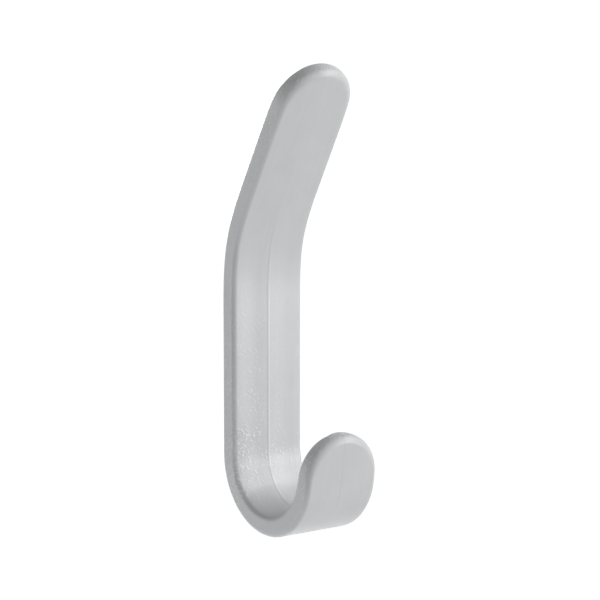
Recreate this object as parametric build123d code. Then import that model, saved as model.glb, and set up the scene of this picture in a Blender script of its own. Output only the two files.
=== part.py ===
from build123d import *
import os

# Double utility hook: one moulded plastic strip that stands flat on a wall.
# Its upper end leans out as a prong and its lower end curls forward and up into a J.
# Millimetres and degrees. X runs across the strip, -Y faces the room and +Z is up.
# The origin is the centre of the flat back of the plate, which lies against the wall.

# Strip. Its thickness is taken on the parting line, where the two halves of the mould met.
strip_width = 25.0
strip_thickness = 6.1
edge_radius = 1.5
mould_draft = 1.0

# Plate: the flat stretch against the wall
plate_height = 51.5

# Prong: the bend above the plate, by its back face, and the flat stretch up to its round end
bend_radius = 45.7
prong_lean = 29.4
prong_straight = 36.9

# Curl: the turn below the plate, by its outer face, and the flat stretch up to its round end
curl_radius = 21.1
curl_angle = 172.6
tip_straight = 1.35


def strip_line(depth):
    """Side view of the strip at a depth in from its back, with Y as x and Z as y.

    The prong and the tip are drawn one strip width past their flat stretches, to be trimmed round.
    """
    bend = JernArc((-depth, plate_height / 2), (0, 1), bend_radius - depth, prong_lean)
    prong = PolarLine(bend @ 1, prong_straight + strip_width, direction=bend % 1)
    plate = Line(bend @ 0, (-depth, -plate_height / 2))
    curl = JernArc(plate @ 1, (0, -1), curl_radius - depth, -curl_angle)
    tip = PolarLine(curl @ 1, tip_straight + strip_width, direction=curl % 1)
    return prong, bend, plate, curl, tip


def depth_of(point):
    """Depth of a point in from the strip's back, seen from the side."""
    back = Plane.YZ * Curve(children=strip_line(0))
    return back.distance_to(Vector(0, point.Y, point.Z))


def half_strip():
    """Square-edged half of the strip, on the +X side of the parting line."""
    back = strip_line(0)
    front = strip_line(strip_thickness)
    ends = [Line(back[end] @ 1, front[end] @ 1) for end in (0, -1)]
    profile = make_face([*back, *front, *ends])
    return extrude(Plane.YZ * profile, strip_width / 2)


def draft_front(half):
    """Lean the front back from the parting line, as the mould half that drew off sideways left it."""
    walls = half.faces().filter_by(Axis.X, reverse=True)
    front = walls.filter_by(lambda face: depth_of(face.center()) > strip_thickness * 3 / 4)
    return draft(front, Plane.YZ, mould_draft)


def outside_round_end(line):
    """What lies outside the full round that ends a flat stretch, given the stretch's line in the side view."""
    stretch = Plane.YZ * line
    along = stretch % 1
    centre = stretch @ 1 - along * strip_width
    plane = Plane(centre, x_dir=(1, 0, 0), z_dir=Vector(1, 0, 0).cross(along))
    beyond = Rectangle(2 * strip_width, 2 * strip_width, align=(Align.CENTER, Align.MIN))
    outline = beyond - Circle(strip_width / 2)
    return extrude(plane * outline, 2 * strip_thickness, both=True)


def rim_edges(half):
    """Edges of the half's outline on its back and on its front, without the seams through its thickness."""
    outer = half.edges().filter_by_position(Axis.X, strip_width / 3, strip_width)
    mid_depth = strip_thickness / 2
    return outer.filter_by(lambda edge: abs(depth_of(edge @ 0.5) - mid_depth) > mid_depth / 2)


def moulded_hook():
    """Whole hook: a drafted half with round ends and round edges, and its mirror image as one solid."""
    half = draft_front(half_strip())
    prong, *_, tip = strip_line(0)
    half -= outside_round_end(prong)
    half -= outside_round_end(tip)
    half = fillet(rim_edges(half), edge_radius)
    return half + mirror(half, about=Plane.YZ)


os.makedirs("parts", exist_ok=True)
export_step(moulded_hook(), "parts/hook.step")
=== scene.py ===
import math
from typing import NamedTuple

import bmesh
import bpy
import numpy as np
from bpy.props import FloatProperty, FloatVectorProperty, IntProperty, PointerProperty
from mathutils import Matrix, Vector


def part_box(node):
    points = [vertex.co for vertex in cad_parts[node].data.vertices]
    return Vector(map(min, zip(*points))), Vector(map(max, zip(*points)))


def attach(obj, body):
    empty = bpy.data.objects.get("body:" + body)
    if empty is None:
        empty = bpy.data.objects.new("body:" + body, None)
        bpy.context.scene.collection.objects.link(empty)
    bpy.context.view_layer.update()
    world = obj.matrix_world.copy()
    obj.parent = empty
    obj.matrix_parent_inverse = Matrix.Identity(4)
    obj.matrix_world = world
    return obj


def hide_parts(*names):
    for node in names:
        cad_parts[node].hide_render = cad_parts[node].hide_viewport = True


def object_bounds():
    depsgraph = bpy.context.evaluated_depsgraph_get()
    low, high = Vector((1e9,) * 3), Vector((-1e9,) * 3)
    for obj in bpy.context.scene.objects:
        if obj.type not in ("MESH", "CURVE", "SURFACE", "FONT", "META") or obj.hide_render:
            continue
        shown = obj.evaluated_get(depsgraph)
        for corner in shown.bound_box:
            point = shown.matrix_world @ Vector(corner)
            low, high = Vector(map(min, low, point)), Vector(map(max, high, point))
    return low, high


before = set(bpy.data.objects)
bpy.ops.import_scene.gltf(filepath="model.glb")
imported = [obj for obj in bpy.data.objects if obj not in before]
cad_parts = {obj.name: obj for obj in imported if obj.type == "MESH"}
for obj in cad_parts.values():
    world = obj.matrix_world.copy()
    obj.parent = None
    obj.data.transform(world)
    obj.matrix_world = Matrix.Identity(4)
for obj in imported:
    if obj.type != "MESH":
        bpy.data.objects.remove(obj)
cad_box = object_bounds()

bl_info = {
    "name": "Moulded Double Hook",
    "version": (1, 0, 0),
    "blender": (4, 5, 0),
    "location": "3D View > Sidebar > Hook",
    "description": "A moulded plastic double hook with its matte finish, on a plain studio stage",
    "category": "Object",
}

HOOK_NODE = "hook"
HOOK_BODY = "root"
STRIP_PLACE = "strip_place"
MM = 0.001

# Width of the photograph, and of the sensor that stands for it.
PHOTO_PIXELS = 600
SENSOR_WIDTH_MM = 36.0

# Distance of the lamps from the hook, in metres. The low lamp stands nearer, so that it is above the floor.
LAMP_DISTANCE = 1.3
LOW_LAMP_DISTANCE = 0.75

# Rays to which the floor and the room show white, and that white.
SEEN_RAYS = ("Is Camera Ray", "Is Glossy Ray", "Is Transmission Ray")
WHITE = (1.0, 1.0, 1.0)

# Steps of the surfaces. A crowding over 1 sets the steps closer together near the parting line.
LINE_STEPS = 4001
END_STEPS = 27
END_CROWDING = 1.7
FLAT_STEPS = 24
FLAT_CROWDING = 1.9
LAST_FLAT_STEP = 0.985
CORNER_STEPS = 9
WALL_STEPS = 5
COVE_STEPS = 13
SWEEP_STEPS = 5

# Doubled points lie closer than the first. The hook's box may depart from its solid's by the second.
WELD_DISTANCE = 1e-7
BOX_ALLOWANCE = 0.5 * MM

# Sockets of a Mix node that blends colours. Its other sockets share their names, so these go by number.
MIX_FACTOR = 0
MIX_FIRST = 6
MIX_SECOND = 7
MIX_RESULT = 2

# Where a mark fades in along the strip, from none to all, measured up from the plate's middle.
PIMPLES_BELOW_BEND = (36.0 * MM, -14.0 * MM)
ABOVE_TROUGH = (-52.0 * MM, -40.0 * MM)
SCUFFS_UP_PRONG = (55.0 * MM, 70.0 * MM)
SCUFFS_UP_TIP = (-80.0 * MM, -88.0 * MM)
SHADE_LINE_BELOW_BEND = (46.0 * MM, 32.0 * MM)
SHADE_LINE_UP_TIP = (-78.0 * MM, -90.0 * MM)
HIGHLIGHT_LINE_BELOW_BEND = (32.0 * MM, 18.0 * MM)

# The same across the strip, measured rightwards from the parting line.
PIMPLES_LEFTWARD = (6.0 * MM, -6.0 * MM)

# The same through the strip, measured off its back.
PIMPLES_OFF_BACK = (0.0, 2.0 * MM)
LINES_OFF_BACK = (0.0, 4.0 * MM)
RIM_OFF_BACK = (0.4 * MM, 1.4 * MM)
RIM_UNDER_FRONT = (5.6 * MM, 4.6 * MM)

# Middle and half width of soft stripes: across the start of the curl, where the highlight falls and the
# pimples' painted glints are strongest, and beside the parting line, where its painted shade and painted
# highlight lie.
CURL_SHEEN_STRIPE = (-31.0 * MM, 10.0 * MM)
SHADE_LINE_STRIPE = (-0.35 * MM, 0.25 * MM)
HIGHLIGHT_LINE_STRIPE = (0.3 * MM, 0.35 * MM)

# Levels of noise between which a mark fades in.
PATCH_LEVELS = (0.42, 0.62)
PIMPLE_LEVELS = (0.5, 0.7)
SCUFF_LEVELS = (0.53, 0.655)
HIGHLIGHT_LINE_LEVELS = (0.35, 0.68333)
NOISE_MIDDLE = 0.5

# Strength of a mark where it is weakest and where it is strongest.
PIMPLES_RIGHT_AND_LEFT = (0.3, 1.0)
PIMPLES_OUT_OF_AND_IN_PATCHES = (0.25, 1.0)
PIMPLES_ON_PLATE_AND_IN_CURL = (0.65, 1.8)
SCUFFS_ON_SIDES_AND_ENDS = (0.2, 1.0)
HIGHLIGHT_LINE_IN_TROUGH_AND_ON_PLATE = (0.2, 1.0)
HIGHLIGHT_LINE_BROKEN_AND_WHOLE = (0.15, 0.55)

# Strength of the painted shade beside the parting line on the back, and what the front and the tip add to
# it.
SHADE_LINE_ON_BACK = 0.1
SHADE_LINE_MORE_ON_FRONT = 0.4
SHADE_LINE_MORE_ON_TIP = 0.35

# How much each mark tells in the colour and in the roughness.
MOTTLE_TINT = 0.9
STREAK_TINT = 0.6
GRAIN_TINT = 0.4
PIMPLE_GLINT_TINT = 0.6
SCUFF_TINT = 0.6
MOTTLE_ROUGHNESS = 0.12
STREAK_ROUGHNESS = 0.08
PIMPLE_POLISH = 0.1

# Streaks are drawn out along the strip, the second axis of its places.
STREAK_SQUASH = (1.0, 0.08, 0.3)

PLASTIC_IOR = 1.5


def length(name, description, default):
    """A length in metres that a user can set."""
    return FloatProperty(name=name, description=description, default=default, min=0.0, unit="LENGTH",
                         precision=5)


def angle(name, description, degrees):
    """An angle that a user can set, given in degrees."""
    return FloatProperty(name=name, description=description, default=math.radians(degrees), subtype="ANGLE")


def share(name, description, default):
    """A share from none to all that a user can set."""
    return FloatProperty(name=name, description=description, default=default, min=0.0, max=1.0,
                         subtype="FACTOR")


def colour(name, description, default):
    """A linear colour that a user can set."""
    return FloatVectorProperty(name=name, description=description, default=default, size=3, min=0.0,
                               max=1.0, subtype="COLOR")


def amount(name, description, default):
    """A plain number that a user can set."""
    return FloatProperty(name=name, description=description, default=default, min=0.0)


class HookSizes(bpy.types.PropertyGroup):
    """Sizes of the moulded strip."""

    strip_width: length("Strip width", "Width across the strip", cad_box[1].x - cad_box[0].x)
    strip_thickness: length("Strip thickness", "Thickness on the parting line", 6.1 * MM)
    edge_radius: length("Edge radius", "Rounding of the strip's edges along its sides", 1.5 * MM)
    end_radius: length("End radius", "Rounding of the edges round the two round ends", 2.4 * MM)
    end_lead: length("End lead", "Where the rounding starts to grow, short of a round end", 8.0 * MM)
    end_reach: length("End reach", "Where the rounding is full, past the start of a round end", 8.8 * MM)
    mould_draft: angle("Mould draft", "Lean of the front away from the parting line", 1.0)
    plate_height: length("Plate height", "Flat stretch against the wall", 51.5 * MM)
    bend_radius: length("Bend radius", "Back face of the bend above the plate", 45.7 * MM)
    bend_ease: length("Bend ease", "Stretch to each side of the bend's ends that eases it", 9.0 * MM)
    prong_lean: angle("Prong lean", "Lean of the prong out from the wall", 29.4)
    prong_length: length("Prong length", "Flat stretch of the prong, up to its round end", 36.9 * MM)
    curl_radius: length("Curl radius", "Outer face of the curl below the plate", 21.1 * MM)
    curl_ease: length("Curl ease", "Stretch to each side of the curl's ends that eases it", 2.4 * MM)
    curl_angle: angle("Curl angle", "Turn of the curl", 172.6)
    tip_length: length("Tip length", "Flat stretch past the curl, up to its round end", 1.35 * MM)
    line_height: length("Parting line height", "Height of the fine ridge that the mould left", 0.045 * MM)
    line_width: length("Parting line width", "Half width of that ridge", 0.32 * MM)
    sink_depth: length("Sink depth", "Dish that each half of the plate's front sank into", 0.18 * MM)
    prong_sink: share("Prong sink", "Share of that dish, and of the ridge, that the prong shows", 0.08)
    stations: IntProperty(name="Stations", description="Steps along the strip", default=241, min=20,
                          max=600)


class PlasticFinish(bpy.types.PropertyGroup):
    """Colours and texture of the grey plastic."""

    grey: colour("Grey", "Colour of the plastic", (0.573, 0.581, 0.592))
    pale_grey: colour("Pale grey", "Colour of its lighter flow marks", (0.640, 0.648, 0.659))
    # The pale grey on the pimples' tops is a painted glint; on the scuffs it is their own worn colour.
    glint_and_scuff_grey: colour("Pimple grey", "Colour of the pimples' tops and the scuffs", (0.860, 0.866, 0.874))
    # Painted highlight: a pale grey that stands for light on the right flank of the parting line's ridge.
    flash_highlight_grey: colour("Flash grey", "Colour of the flash beside the parting line", (0.760, 0.766, 0.774))
    # Painted shade: a dark grey that stands for shade on the left flank of the parting line's ridge.
    ridge_shade_grey: colour("Parting line grey", "Colour along the parting line", (0.520, 0.532, 0.535))
    grain_size: length("Grain size", "Size of the spark-eroded grain", 0.45 * MM)
    grain_depth: length("Grain depth", "Depth of the grain", 0.014 * MM)
    pimple_size: length("Pimple size", "Size of the pimples low on the plate and in the curl", 0.95 * MM)
    pimple_height: length("Pimple height", "Height of those pimples", 0.075 * MM)
    patch_size: length("Patch size", "Size of the patches that the pimples stand in", 6.0 * MM)
    scuff_size: length("Scuff size", "Size of the scuffed specks round the rims of both ends", 0.7 * MM)
    scuff_height: length("Scuff height", "Height of those specks", 0.09 * MM)
    mottle_size: length("Mottle size", "Size of the cloudy flow marks", 9.0 * MM)
    streak_size: length("Streak size", "Width of the flow marks drawn out along the strip", 1.6 * MM)
    # Gaps in the painted highlight beside the parting line.
    flash_highlight_gap: length("Flash gap", "Size of the gaps in the flash", 13.0 * MM)
    roughness: share("Roughness", "Roughness of the matte surface", 0.36)


class StudioStage(bpy.types.PropertyGroup):
    """Camera, lamps and floor."""

    view_azimuth: angle("View azimuth", "Turn of the camera to the hook's left", 36.52)
    view_elevation: angle("View elevation", "Height of the camera above level", 9.72)
    view_distance: length("View distance", "From the camera to the point it looks at", 0.8726)
    view_focal: amount("View focal length", "Focal length in photo pixels", 2985.2)
    aim: FloatVectorProperty(name="Aim", description="Point that the camera looks at", size=3,
                             default=(7.33 * MM, -11.77 * MM, 19.43 * MM), subtype="XYZ", unit="LENGTH")
    floor_drop: length("Floor drop", "Height of the hook above the floor", 0.6)
    floor_width: length("Floor width", "Width of the floor and backdrop", 6.0)
    floor_depth: length("Floor depth", "Reach of the floor in front of the hook and behind it", 2.5)
    wall_height: length("Wall height", "Height of the backdrop", 3.0)
    cove_radius: length("Cove radius", "Rounding between the floor and the backdrop", 0.8)
    floor_colour: colour("Floor colour", "Colour of the floor and backdrop", (0.86, 0.86, 0.86))
    floor_glow: amount("Floor glow", "Brightness that the floor shows to the eye by itself", 0.95)
    cool_light: colour("Cool light", "Colour of the key, low and back lamps' light", (0.955, 0.98, 1.0))
    warm_light: colour("Warm light", "Colour of the front and top lamps' light", (1.0, 0.982, 0.96))
    ambient: amount("Ambient", "Strength of the light from all round", 0.04)


class Wire:
    """A socket's value, on which plain arithmetic adds Math nodes."""

    def __init__(self, sheet, socket):
        self.sheet = sheet
        self.socket = socket

    def maths(self, operation, *values):
        """Result of a Math node on values or wires."""
        return self.sheet.node("ShaderNodeMath", {"operation": operation}, dict(enumerate(values)))

    def __add__(self, other):
        return self.maths("ADD", self, other)

    def __radd__(self, other):
        return self.maths("ADD", other, self)

    def __sub__(self, other):
        return self.maths("SUBTRACT", self, other)

    def __rsub__(self, other):
        return self.maths("SUBTRACT", other, self)

    def __mul__(self, other):
        return self.maths("MULTIPLY", self, other)

    def __rmul__(self, other):
        return self.maths("MULTIPLY", other, self)

    def __truediv__(self, other):
        return self.maths("DIVIDE", self, other)

    def __rtruediv__(self, other):
        return self.maths("DIVIDE", other, self)

    def clamped(self):
        """The value, held between 0 and 1."""
        return self.maths("MAXIMUM", self.maths("MINIMUM", self, 1.0), 0.0)

    def ramp(self, none, full):
        """Share that grows evenly from 0, where the value is at none, to 1, where it is at full."""
        return ((self - none) / (full - none)).clamped()

    def spread(self, least, most):
        """Amount that grows from the least to the most as the value, a share, grows from 0 to 1."""
        return least + (most - least) * self

    def bell(self, middle, half_width):
        """Bell curve: e to the minus square of the value's distance from the middle, in half widths."""
        way = (self - middle) / half_width
        return self.maths("EXPONENT", way * way * -1.0)


class NodeSheet:
    """The nodes of one material or world."""

    def __init__(self, node_tree):
        self.tree = node_tree
        node_tree.nodes.clear()

    def node(self, kind, settings=None, values=None, output=0):
        """Add a node, set it up, fill its sockets with values or wires, and return one of its outputs."""
        made = self.tree.nodes.new(kind)
        for name, value in (settings or {}).items():
            setattr(made, name, value)
        for key, value in (values or {}).items():
            if isinstance(value, Wire):
                self.tree.links.new(value.socket, made.inputs[key])
            else:
                made.inputs[key].default_value = value
        return Wire(self, made.outputs[output]) if made.outputs else None

    def noise(self, place, size, detail=2.0, roughness=0.5):
        """Cloudy noise from 0 to 1 whose lumps have the given size."""
        return self.node("ShaderNodeTexNoise", {"noise_dimensions": "3D"},
                         {"Vector": place, "Scale": 1.0 / size, "Detail": detail, "Roughness": roughness})

    def blend(self, factor, first, second):
        """Colour between two colours."""
        one, other = (value if isinstance(value, Wire) else (*value, 1.0) for value in (first, second))
        return self.node("ShaderNodeMix", {"data_type": "RGBA"},
                         {MIX_FACTOR: factor, MIX_FIRST: one, MIX_SECOND: other}, output=MIX_RESULT)

    def shown(self):
        """One for the rays that see what stands there, and none for those that carry its light."""
        camera, glossy, clear = (self.node("ShaderNodeLightPath", output=ray) for ray in SEEN_RAYS)
        return (camera + glossy + clear).clamped()


class Places(NamedTuple):
    """Where a point of the hook lies: in the frame, and on the flat strip as a whole and by its axes."""

    solid: Wire
    strip: Wire
    across: Wire
    along: Wire
    height: Wire


def smooth_step(value):
    """Rise from 0 to 1, level at both ends: three times the clipped value's square less twice its cube."""
    inside = np.clip(value, 0.0, 1.0)
    return inside * inside * (3 - 2 * inside)


def eased_turn(distance, radius, full_turn, ease):
    """Turn reached at a distance past the start of an arc, easing into the arc and out of it.

    The plain turn rises at one over the radius from none to the full turn. Each of its two corners is
    rounded by a parabola over the ease to both sides of it: the square of the way into the ease over four
    eases.
    """
    def eased(way):
        inside = np.clip(way + ease, 0.0, 2 * ease)
        return inside * inside / (4 * ease) + np.maximum(way - ease, 0.0)

    return (eased(distance) - eased(distance - radius * full_turn)) / radius


def back_line(along, sizes):
    """Side view of the strip's back: its Y, its Z and its turn from upright at distances along it.

    The distance runs up from the plate's middle. Above the plate the line turns through the bend and then
    runs straight on along the prong. Below it the line turns through the curl and runs straight on along the
    tip. Y is the running sum of minus the turn's sine over fine steps, and Z that of its cosine.
    """
    half = sizes.plate_height / 2
    steps = np.linspace(along.min(), along.max(), LINE_STEPS)
    turn = (eased_turn(steps - half, sizes.bend_radius, sizes.prong_lean, sizes.bend_ease)
            - eased_turn(-steps - half, sizes.curl_radius, sizes.curl_angle, sizes.curl_ease))
    slopes = np.stack([-np.sin(turn), np.cos(turn)])
    sums = np.cumsum((slopes[:, 1:] + slopes[:, :-1]) / 2 * np.diff(steps), axis=1)
    y, z = (np.interp(along, steps, np.append(0.0, row)) for row in sums)
    start_y, start_z = (np.interp(0.0, steps, np.append(0.0, row)) for row in sums)
    return y - start_y, z - start_z, np.interp(along, steps, turn)


def strip_outline(sizes):
    """Outline of the flat strip, as a loop of points that stand off its spine.

    Returns each point's place on the spine, the angle at which it faces out and the rounding of the edge.
    The spine is the strip's middle line between the centres of its two round ends. The loop goes up the
    right side, round the top end, down the left side and round the bottom end. Steps round the ends are
    closest beside the parting line. The rounding grows on a smooth step from the sides to the ends, by the
    distance past the start of the nearest round end.
    """
    half = sizes.plate_height / 2
    top = half + sizes.bend_radius * sizes.prong_lean + sizes.prong_length
    bottom = -half - sizes.curl_radius * sizes.curl_angle - sizes.tip_length
    side = np.linspace(bottom, top, sizes.stations)
    quarter = math.pi / 2 * np.linspace(0.0, 1.0, END_STEPS) ** END_CROWDING
    turn = np.concatenate([-quarter[-2:0:-1], quarter[:-1]])
    spine = np.concatenate([side, np.full(turn.size, top), side[::-1], np.full(turn.size, bottom)])
    facing = np.concatenate([np.zeros(side.size), math.pi / 2 + turn,
                             np.full(side.size, math.pi), 3 * math.pi / 2 + turn])
    round_way = sizes.strip_width / 2 * np.arcsin(np.abs(np.sin(facing)))
    past = round_way - np.minimum(top - spine, spine - bottom)
    step = smooth_step((past + sizes.end_lead) / (sizes.end_lead + sizes.end_reach))
    rounding = sizes.edge_radius + (sizes.end_radius - sizes.edge_radius) * step
    return spine, facing, rounding


def half_section():
    """Half of the strip's section, from the middle of its front round the edge to the middle of its back.

    Each point has a share of the flat's half width, a bulge past the flat and a rise, both in edge radii,
    and a share of the front's height. The front and back run flat, the edges are quarter rounds and the wall
    is straight.
    """
    flat = np.append(LAST_FLAT_STEP * np.linspace(0.0, 1.0, FLAT_STEPS) ** FLAT_CROWDING, 1.0)
    corner = np.linspace(0.0, math.pi / 2, CORNER_STEPS)
    wall = np.linspace(0.0, 1.0, WALL_STEPS)[1:-1]
    front_flat, back_flat = np.zeros(flat.size), np.zeros(flat.size - 1)
    edge_size = corner[1:].size + wall.size + corner.size
    width_share = np.concatenate([flat, np.ones(edge_size), flat[-2::-1]])
    bulge = np.concatenate([front_flat, np.sin(corner[1:]), np.ones(wall.size), np.cos(corner), back_flat])
    rise = np.concatenate([front_flat, np.cos(corner[1:]) - 1, 2 * wall - 1, 1 - np.sin(corner), back_flat])
    front_share = np.concatenate([np.ones(flat.size + corner.size - 1), 1 - wall,
                                  np.zeros(corner.size + flat.size - 1)])
    return width_share, bulge, rise, front_share


def hook_surface(sizes):
    """The hook's surface: the half section carried round the strip's outline and bent along the back line.

    A point reaches out from the spine by its share of the flat plus its bulge. Its height off the back is
    its share of the front's height plus its rise. The front falls away from the parting line by the mould's
    draft. A fine ridge, a bell curve, stands on that line and each half sinks into a shallow dish, a squared
    sine across the half. Both fade from the plate to the prong.
    Returns the points and their places on the flat strip, as arrays of section rows by outline columns.
    """
    spine, facing, rounding = strip_outline(sizes)
    width_share, bulge, rise, front_share = (part[:, None] for part in half_section())
    flat = sizes.strip_width / 2 - rounding
    reach = width_share * flat + bulge * rounding
    across = reach * np.cos(facing)
    along = spine + reach * np.sin(facing)
    y, z, turn = back_line(along, sizes)
    bent = smooth_step((along - sizes.plate_height / 2) / (sizes.bend_radius * sizes.prong_lean))
    kept = 1 - (1 - sizes.prong_sink) * bent
    dish = sizes.sink_depth * np.sin(math.pi * np.minimum(np.abs(across) / flat, 1.0)) ** 2
    ridge = sizes.line_height * np.exp(-(across / sizes.line_width) ** 2)
    slope = np.tan(sizes.mould_draft) * np.abs(across)
    height = front_share * (sizes.strip_thickness - slope + kept * (ridge - dish)) + rise * rounding
    points = np.stack([across, y - height * np.cos(turn), z - height * np.sin(turn)], axis=-1)
    places = np.stack([across, along, height], axis=-1)
    return points, places


def sweep_surface(stage):
    """Floor and backdrop in one sheet: a flat floor that rises through a quarter round to an upright wall.

    The profile runs from the front edge to the back along Y, round the cove and up Z. It is carried across
    X, so that the rows of the grid are copies of it.
    """
    depth, radius = stage.floor_depth, stage.cove_radius
    level = cad_box[0].z - stage.floor_drop
    cove = np.linspace(0.0, math.pi / 2, COVE_STEPS)
    y = np.concatenate([[-depth], depth - radius + radius * np.sin(cove), [depth]])
    z = level + np.concatenate([[0.0], radius - radius * np.cos(cove), [stage.wall_height]])
    x = np.linspace(-stage.floor_width / 2, stage.floor_width / 2, SWEEP_STEPS)
    points = np.empty((x.size, y.size, 3))
    points[..., 0] = x[:, None]
    points[..., 1] = y
    points[..., 2] = z
    return points


def grid_faces(grid, closed):
    """Quads between neighbouring rows and columns of a grid. A closed one's last column joins its first."""
    rows, columns = grid.shape[:2]
    spans = columns if closed else columns - 1
    row, column = np.meshgrid(np.arange(rows - 1), np.arange(spans), indexing="ij")
    after = (column + 1) % columns
    this_row, next_row = row * columns, (row + 1) * columns
    quads = [this_row + column, next_row + column, next_row + after, this_row + after]
    return np.stack(quads, axis=-1).reshape(-1, 4)


def mesh_piece(name, points, faces, material, places=None):
    """A smooth mesh object at the origin, with its doubled points welded."""
    mesh = bpy.data.meshes.new(name)
    mesh.from_pydata(points.reshape(-1, 3).tolist(), [], faces.tolist())
    if places is not None:
        layer = mesh.attributes.new(STRIP_PLACE, "FLOAT_VECTOR", "POINT")
        layer.data.foreach_set("vector", places.astype(np.float32).ravel())
    work = bmesh.new()
    work.from_mesh(mesh)
    bmesh.ops.remove_doubles(work, verts=work.verts, dist=WELD_DISTANCE)
    work.to_mesh(mesh)
    work.free()
    mesh.polygons.foreach_set("use_smooth", np.ones(len(mesh.polygons), dtype=bool))
    mesh.materials.append(material)
    piece = bpy.data.objects.new(name, mesh)
    bpy.context.scene.collection.objects.link(piece)
    return piece


def read_places(sheet):
    """The places of a point of the hook, as wires."""
    solid = sheet.node("ShaderNodeTexCoord", output="Object")
    strip = sheet.node("ShaderNodeAttribute", {"attribute_name": STRIP_PLACE}, output="Vector")
    axes = (sheet.node("ShaderNodeSeparateXYZ", values={"Vector": strip}, output=axis) for axis in "XYZ")
    return Places(solid, strip, *axes)


def pimples_on(sheet, finish, place):
    """Coarse pimples in patches, low on the plate and in the curl's start, most of them left of the line;
    their pale tops are painted glints, strongest where the highlight falls across the curl's start.
    """
    stretch = place.along.ramp(*PIMPLES_BELOW_BEND) * place.along.ramp(*ABOVE_TROUGH)
    off_back = place.height.ramp(*PIMPLES_OFF_BACK)
    leftward = place.across.ramp(*PIMPLES_LEFTWARD).spread(*PIMPLES_RIGHT_AND_LEFT)
    patches = sheet.noise(place.solid, finish.patch_size, detail=3.0).ramp(*PATCH_LEVELS)
    patched = patches.spread(*PIMPLES_OUT_OF_AND_IN_PATCHES)
    # Band across the curl's start where the highlight falls; the pimples and their painted glints are
    # strongest there.
    in_sheen_band = place.along.bell(*CURL_SHEEN_STRIPE).spread(*PIMPLES_ON_PLATE_AND_IN_CURL)
    spots = sheet.noise(place.solid, finish.pimple_size, detail=1.0, roughness=0.8).ramp(*PIMPLE_LEVELS)
    return spots * (stretch * off_back * leftward * patched * in_sheen_band)


def scuffs_on(sheet, finish, place):
    """Fine scuffed specks on the rim, few along the sides and most of them round both ends."""
    on_rim = place.height.ramp(*RIM_UNDER_FRONT) * place.height.ramp(*RIM_OFF_BACK)
    at_ends = place.along.ramp(*SCUFFS_UP_PRONG) + place.along.ramp(*SCUFFS_UP_TIP)
    spots = sheet.noise(place.solid, finish.scuff_size, detail=2.0, roughness=0.7).ramp(*SCUFF_LEVELS)
    return spots * on_rim * at_ends.spread(*SCUFFS_ON_SIDES_AND_ENDS)


def painted_ridge_shade_on(place):
    """Painted shade on the left of the parting line's ridge, up to the bend, clearest on the front and on
    the tip.
    """
    on_front = place.height.ramp(*LINES_OFF_BACK)
    on_tip = place.along.ramp(*SHADE_LINE_UP_TIP)
    strength = SHADE_LINE_ON_BACK + SHADE_LINE_MORE_ON_FRONT * on_front + SHADE_LINE_MORE_ON_TIP * on_tip
    return place.across.bell(*SHADE_LINE_STRIPE) * (place.along.ramp(*SHADE_LINE_BELOW_BEND) * strength)


def painted_flash_highlight_on(sheet, finish, place):
    """Painted highlight on the right of the parting line's ridge, on the front, uneven and weak in the
    trough.
    """
    on_front = place.height.ramp(*LINES_OFF_BACK)
    stretch = place.along.ramp(*HIGHLIGHT_LINE_BELOW_BEND)
    out_of_trough = place.along.ramp(*ABOVE_TROUGH).spread(*HIGHLIGHT_LINE_IN_TROUGH_AND_ON_PLATE)
    whole = sheet.noise(place.strip, finish.flash_highlight_gap).ramp(*HIGHLIGHT_LINE_LEVELS)
    strength = whole.spread(*HIGHLIGHT_LINE_BROKEN_AND_WHOLE)
    return place.across.bell(*HIGHLIGHT_LINE_STRIPE) * (stretch * out_of_trough * on_front * strength)


def plastic_material(finish):
    """Matte grey plastic: grain and flow marks all over, pimples with painted glints, scuffed rims, and a
    faint parting line with painted shade and a painted highlight beside it.
    """
    material = bpy.data.materials.new("matte_grey_plastic")
    material.use_nodes = True
    sheet = NodeSheet(material.node_tree)
    place = read_places(sheet)
    drawn_out = sheet.node("ShaderNodeVectorMath", {"operation": "MULTIPLY"},
                           {0: place.strip, 1: STREAK_SQUASH})
    mottle = sheet.noise(place.solid, finish.mottle_size) - NOISE_MIDDLE
    streak = sheet.noise(drawn_out, finish.streak_size, detail=3.0) - NOISE_MIDDLE
    grain = sheet.noise(place.solid, finish.grain_size, detail=2.0, roughness=0.6)
    pimples = pimples_on(sheet, finish, place)
    scuffs = scuffs_on(sheet, finish, place)
    speckle = (grain - NOISE_MIDDLE) * GRAIN_TINT
    cloud = (NOISE_MIDDLE + mottle * MOTTLE_TINT + streak * STREAK_TINT + speckle).clamped()
    flow = sheet.blend(cloud, finish.grey, finish.pale_grey)
    # The pimples' pale tops are painted glints; the scuffs are worn specks.
    scuffed = sheet.blend(pimples * PIMPLE_GLINT_TINT + scuffs * SCUFF_TINT, flow, finish.glint_and_scuff_grey)
    # Painted shade on the left of the parting line's ridge.
    ridge_shaded = sheet.blend(painted_ridge_shade_on(place), scuffed, finish.ridge_shade_grey)
    # Painted highlight on the right of the parting line's ridge.
    base = sheet.blend(painted_flash_highlight_on(sheet, finish, place), ridge_shaded, finish.flash_highlight_grey)
    flow_rough = mottle * MOTTLE_ROUGHNESS + streak * STREAK_ROUGHNESS
    rough = finish.roughness + flow_rough - pimples * PIMPLE_POLISH
    relief = grain * finish.grain_depth + pimples * finish.pimple_height + scuffs * finish.scuff_height
    bump = sheet.node("ShaderNodeBump", values={"Strength": 1.0, "Distance": 1.0, "Height": relief},
                      output="Normal")
    shader = sheet.node("ShaderNodeBsdfPrincipled", values={"Base Color": base, "Roughness": rough,
                                                            "IOR": PLASTIC_IOR, "Normal": bump})
    sheet.node("ShaderNodeOutputMaterial", values={"Surface": shader})
    return material


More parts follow.
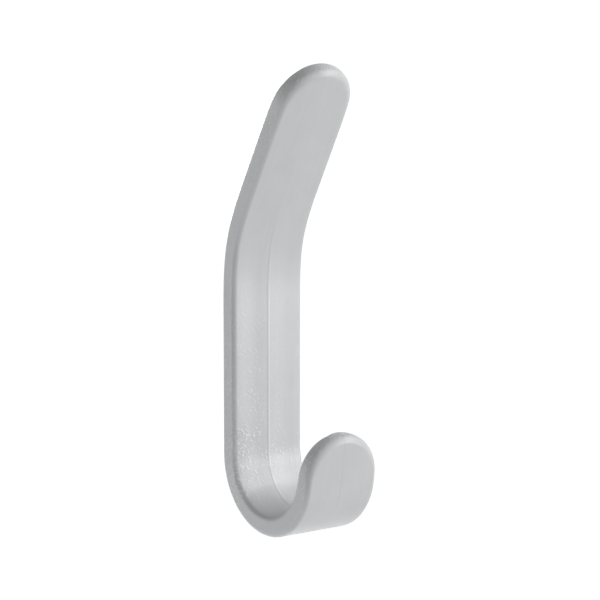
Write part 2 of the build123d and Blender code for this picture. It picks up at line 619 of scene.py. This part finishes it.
def floor_material(stage):
    """Pale matte floor that shows white to the eye where nothing shades it, and keeps shadows."""
    material = bpy.data.materials.new("pale_floor")
    material.use_nodes = True
    sheet = NodeSheet(material.node_tree)
    matte = sheet.node("ShaderNodeBsdfDiffuse", values={"Color": (*stage.floor_colour, 1.0)})
    glow = sheet.node("ShaderNodeEmission", values={"Color": (*WHITE, 1.0), "Strength": stage.floor_glow})
    lit = sheet.node("ShaderNodeAddShader", values={0: matte, 1: glow})
    mixed = sheet.node("ShaderNodeMixShader", values={0: sheet.shown(), 1: matte, 2: lit})
    sheet.node("ShaderNodeOutputMaterial", values={"Surface": mixed})
    return material


def direction(azimuth, elevation):
    """Direction at an azimuth to the right of straight out from the wall, and an elevation above level."""
    level = math.cos(elevation)
    return Vector((math.sin(azimuth) * level, -math.cos(azimuth) * level, math.sin(elevation)))


def aimed(place, target):
    """Placing of a lamp or camera that looks from a place to a target with its top upwards."""
    turn = (target - place).to_track_quat("-Z", "Y").to_matrix().to_4x4()
    return Matrix.Translation(place) @ turn


def soft_lamp(name, azimuth, elevation, width, height, power, tint=WHITE, away=LAMP_DISTANCE):
    """A soft box that faces the hook, at an azimuth to the right and an elevation in degrees."""
    lamp = bpy.data.lights.new(name, "AREA")
    lamp.shape = "RECTANGLE"
    lamp.size = width
    lamp.size_y = height
    lamp.energy = power
    lamp.color = tint
    holder = bpy.data.objects.new(name, lamp)
    bpy.context.scene.collection.objects.link(holder)
    target = (cad_box[0] + cad_box[1]) / 2
    out = direction(math.radians(azimuth), math.radians(elevation))
    holder.matrix_world = aimed(target + away * out, target)


class HOOK_OT_moulding(bpy.types.Operator):
    """Make the moulded hook in its grey plastic"""

    bl_idname = "hook.moulding"
    bl_label = "Moulded hook"

    def execute(self, context):
        sizes, finish = context.scene.hook_sizes, context.scene.hook_finish
        points, places = hook_surface(sizes)
        faces = grid_faces(points, closed=True)
        self.check_box(points)
        piece = mesh_piece("moulded_hook", points, faces, plastic_material(finish), places)
        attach(piece, HOOK_BODY)
        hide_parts(HOOK_NODE)
        return {"FINISHED"}

    def check_box(self, points):
        """Stop if the sizes make a hook whose box departs from that of the solid it stands for."""
        made = np.array([points.min(axis=(0, 1)), points.max(axis=(0, 1))])
        if np.abs(made - np.array(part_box(HOOK_NODE))).max() > BOX_ALLOWANCE:
            raise RuntimeError("The hook's sizes don't fit the solid it stands for.")


class HOOK_OT_stage(bpy.types.Operator):
    """Set up the floor, the lamps and the camera"""

    bl_idname = "hook.stage"
    bl_label = "Studio stage"

    def execute(self, context):
        scene, stage = context.scene, context.scene.hook_stage
        points = sweep_surface(stage)
        faces = grid_faces(points, closed=False)
        mesh_piece("floor_sweep", points, faces, floor_material(stage))
        self.place_lamps(stage)
        self.set_world(scene, stage)
        self.set_camera(scene, stage)
        scene.view_settings.view_transform = "Standard"
        return {"FINISHED"}

    def place_lamps(self, stage):
        """Light the hook softly from the front and the right, and fill it in from the left and behind."""
        cool, warm = stage.cool_light, stage.warm_light
        soft_lamp("key_lamp", azimuth=54, elevation=33, width=0.85, height=0.6, power=8.6, tint=cool)
        soft_lamp("front_lamp", azimuth=39, elevation=3, width=0.45, height=0.6, power=7.35, tint=warm)
        soft_lamp("top_lamp", azimuth=0, elevation=34, width=0.45, height=0.45, power=2.1, tint=warm)
        soft_lamp("left_lamp", azimuth=-110, elevation=-16, width=1.3, height=0.6, power=4.0)
        soft_lamp("low_lamp", azimuth=-68, elevation=-48, width=0.4, height=0.25, power=0.72, tint=cool,
                  away=LOW_LAMP_DISTANCE)
        soft_lamp("high_lamp", azimuth=-75, elevation=45, width=0.5, height=0.5, power=1.1)
        soft_lamp("back_lamp", azimuth=160, elevation=5, width=0.5, height=0.5, power=5.4, tint=cool)
        soft_lamp("side_lamp", azimuth=-140, elevation=5, width=0.5, height=0.5, power=1.3)

    def set_world(self, scene, stage):
        """Surround the hook with a room that shows white and gives only a little light."""
        world = bpy.data.worlds.new("white_room")
        world.use_nodes = True
        sheet = NodeSheet(world.node_tree)
        strength = sheet.shown().spread(stage.ambient, 1.0)
        light = sheet.node("ShaderNodeBackground", values={"Color": (*WHITE, 1.0), "Strength": strength})
        sheet.node("ShaderNodeOutputWorld", values={"Surface": light})
        scene.world = world

    def set_camera(self, scene, stage):
        """Look at the aim from the photograph's angle, at its focal length."""
        lens = bpy.data.cameras.new("photo_camera")
        lens.sensor_width = SENSOR_WIDTH_MM
        lens.lens = SENSOR_WIDTH_MM * stage.view_focal / PHOTO_PIXELS
        camera = bpy.data.objects.new("photo_camera", lens)
        scene.collection.objects.link(camera)
        aim = Vector(stage.aim)
        out = direction(-stage.view_azimuth, stage.view_elevation)
        camera.matrix_world = aimed(aim + stage.view_distance * out, aim)
        scene.camera = camera


class HOOK_PT_panel(bpy.types.Panel):
    """Lists the hook's settings and makers in the sidebar"""

    bl_idname = "HOOK_PT_panel"
    bl_label = "Moulded double hook"
    bl_space_type = "VIEW_3D"
    bl_region_type = "UI"
    bl_category = "Hook"

    def draw(self, context):
        for group in (context.scene.hook_sizes, context.scene.hook_finish, context.scene.hook_stage):
            box = self.layout.box()
            for name in group.__annotations__:
                box.prop(group, name)
        self.layout.operator(HOOK_OT_moulding.bl_idname)
        self.layout.operator(HOOK_OT_stage.bl_idname)


CLASSES = (HookSizes, PlasticFinish, StudioStage, HOOK_OT_moulding, HOOK_OT_stage, HOOK_PT_panel)


def register():
    for item in CLASSES:
        bpy.utils.register_class(item)
    bpy.types.Scene.hook_sizes = PointerProperty(type=HookSizes)
    bpy.types.Scene.hook_finish = PointerProperty(type=PlasticFinish)
    bpy.types.Scene.hook_stage = PointerProperty(type=StudioStage)


def unregister():
    del bpy.types.Scene.hook_stage
    del bpy.types.Scene.hook_finish
    del bpy.types.Scene.hook_sizes
    for item in reversed(CLASSES):
        bpy.utils.unregister_class(item)


def main():
    """Make the hook and its stage."""
    register()
    bpy.ops.hook.moulding()
    bpy.ops.hook.stage()


if __name__ == "__main__":
    main()
